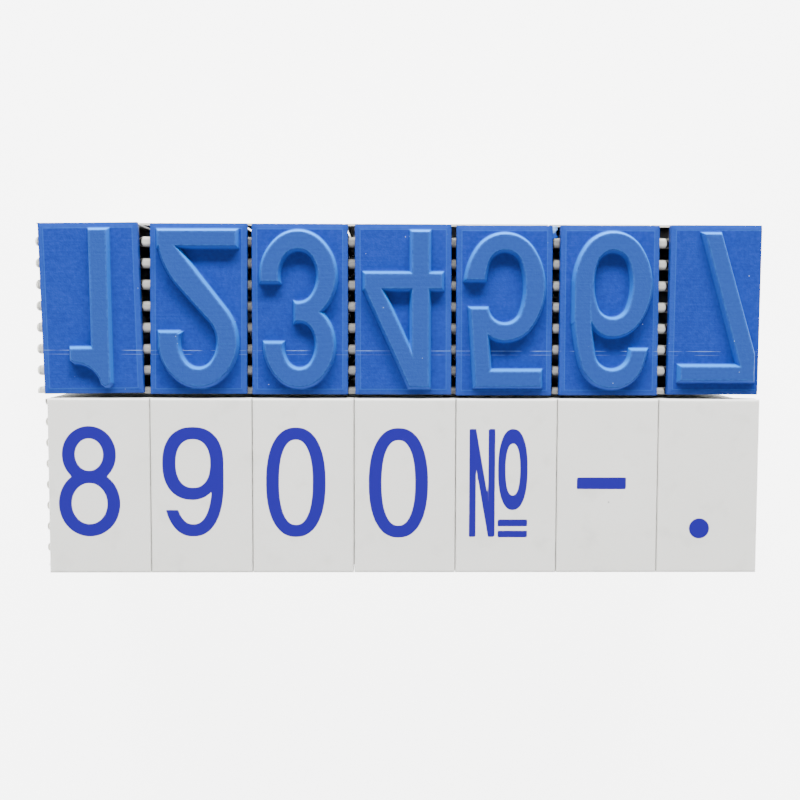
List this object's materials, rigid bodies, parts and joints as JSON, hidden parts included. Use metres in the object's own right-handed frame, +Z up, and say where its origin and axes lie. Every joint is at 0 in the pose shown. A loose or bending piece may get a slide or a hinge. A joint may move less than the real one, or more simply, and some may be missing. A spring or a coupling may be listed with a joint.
{
  "type": "number stamp",
  "caption": "Loose number stamps that hook side by side: blue rubber dies on white ABS holders with labelled heads, one row dies up and one row heads up.",
  "frame": {"origin": "on the table, in the middle of the set's outline", "axes": "+X along the rows from the first stamp to the last, +Y from the row with its heads up to the row with its dies up, +Z up"},
  "size_m": [0.129, 0.0624, 0.045],
  "materials": {
    "rubber": "blue laser-engraved rubber, satin",
    "tape": "pale foam tape, matte",
    "holder": "off-white moulded ABS, semi-gloss",
    "head": "off-white moulded ABS, satin, with a blue printed character"
  },
  "bodies": {
    "stamp_one": {"die_one": "rubber", "tape_one": "tape", "holder_one": "holder", "head_one": "head"},
    "stamp_two": {"die_two": "rubber", "tape_two": "tape", "holder_two": "holder", "head_two": "head"},
    "stamp_three": {"die_three": "rubber", "tape_three": "tape", "holder_three": "holder", "head_three": "head"},
    "stamp_four": {"die_four": "rubber", "tape_four": "tape", "holder_four": "holder", "head_four": "head"},
    "stamp_five": {"die_five": "rubber", "tape_five": "tape", "holder_five": "holder", "head_five": "head"},
    "stamp_six": {"die_six": "rubber", "tape_six": "tape", "holder_six": "holder", "head_six": "head"},
    "stamp_seven": {"die_seven": "rubber", "tape_seven": "tape", "holder_seven": "holder", "head_seven": "head"},
    "stamp_eight": {"die_eight": "rubber", "tape_eight": "tape", "holder_eight": "holder", "head_eight": "head"},
    "stamp_nine": {"die_nine": "rubber", "tape_nine": "tape", "holder_nine": "holder", "head_nine": "head"},
    "stamp_zero_a": {"die_zero_a": "rubber", "tape_zero_a": "tape", "holder_zero_a": "holder", "head_zero_a": "head"},
    "stamp_zero_b": {"die_zero_b": "rubber", "tape_zero_b": "tape", "holder_zero_b": "holder", "head_zero_b": "head"},
    "stamp_numero": {"die_numero": "rubber", "tape_numero": "tape", "holder_numero": "holder", "head_numero": "head"},
    "stamp_dash": {"die_dash": "rubber", "tape_dash": "tape", "holder_dash": "holder", "head_dash": "head"},
    "stamp_point": {"die_point": "rubber", "tape_point": "tape", "holder_point": "holder", "head_point": "head"}
  },
  "joints": [
    {"name": "unhook_two", "type": "slide", "parent": "stamp_one", "child": "stamp_two", "axis": [1, 0, 0], "range_m": [-0.00025, 0.012]},
    {"name": "unhook_three", "type": "slide", "parent": "stamp_two", "child": "stamp_three", "axis": [1, 0, 0], "range_m": [-0.00025, 0.012]},
    {"name": "unhook_four", "type": "slide", "parent": "stamp_three", "child": "stamp_four", "axis": [1, 0, 0], "range_m": [-0.00025, 0.012]},
    {"name": "unhook_five", "type": "slide", "parent": "stamp_four", "child": "stamp_five", "axis": [1, 0, 0], "range_m": [-0.00025, 0.012]},
    {"name": "unhook_six", "type": "slide", "parent": "stamp_five", "child": "stamp_six", "axis": [1, 0, 0], "range_m": [-0.00025, 0.012]},
    {"name": "unhook_seven", "type": "slide", "parent": "stamp_six", "child": "stamp_seven", "axis": [1, 0, 0], "range_m": [-0.00025, 0.012]},
    {"name": "unhook_nine", "type": "slide", "parent": "stamp_eight", "child": "stamp_nine", "axis": [1, 0, 0], "range_m": [0, 0.012]},
    {"name": "unhook_zero_a", "type": "slide", "parent": "stamp_nine", "child": "stamp_zero_a", "axis": [1, 0, 0], "range_m": [0, 0.012]},
    {"name": "unhook_zero_b", "type": "slide", "parent": "stamp_zero_a", "child": "stamp_zero_b", "axis": [1, 0, 0], "range_m": [0, 0.012]},
    {"name": "unhook_numero", "type": "slide", "parent": "stamp_zero_b", "child": "stamp_numero", "axis": [1, 0, 0], "range_m": [0, 0.012]},
    {"name": "unhook_dash", "type": "slide", "parent": "stamp_numero", "child": "stamp_dash", "axis": [1, 0, 0], "range_m": [0, 0.012]},
    {"name": "unhook_point", "type": "slide", "parent": "stamp_dash", "child": "stamp_point", "axis": [1, 0, 0], "range_m": [0, 0.012]},
    {"name": "part_rows", "type": "slide", "parent": "stamp_one", "child": "stamp_eight", "axis": [0, -1, 0], "range_m": [0, 0.03]}
  ]
}
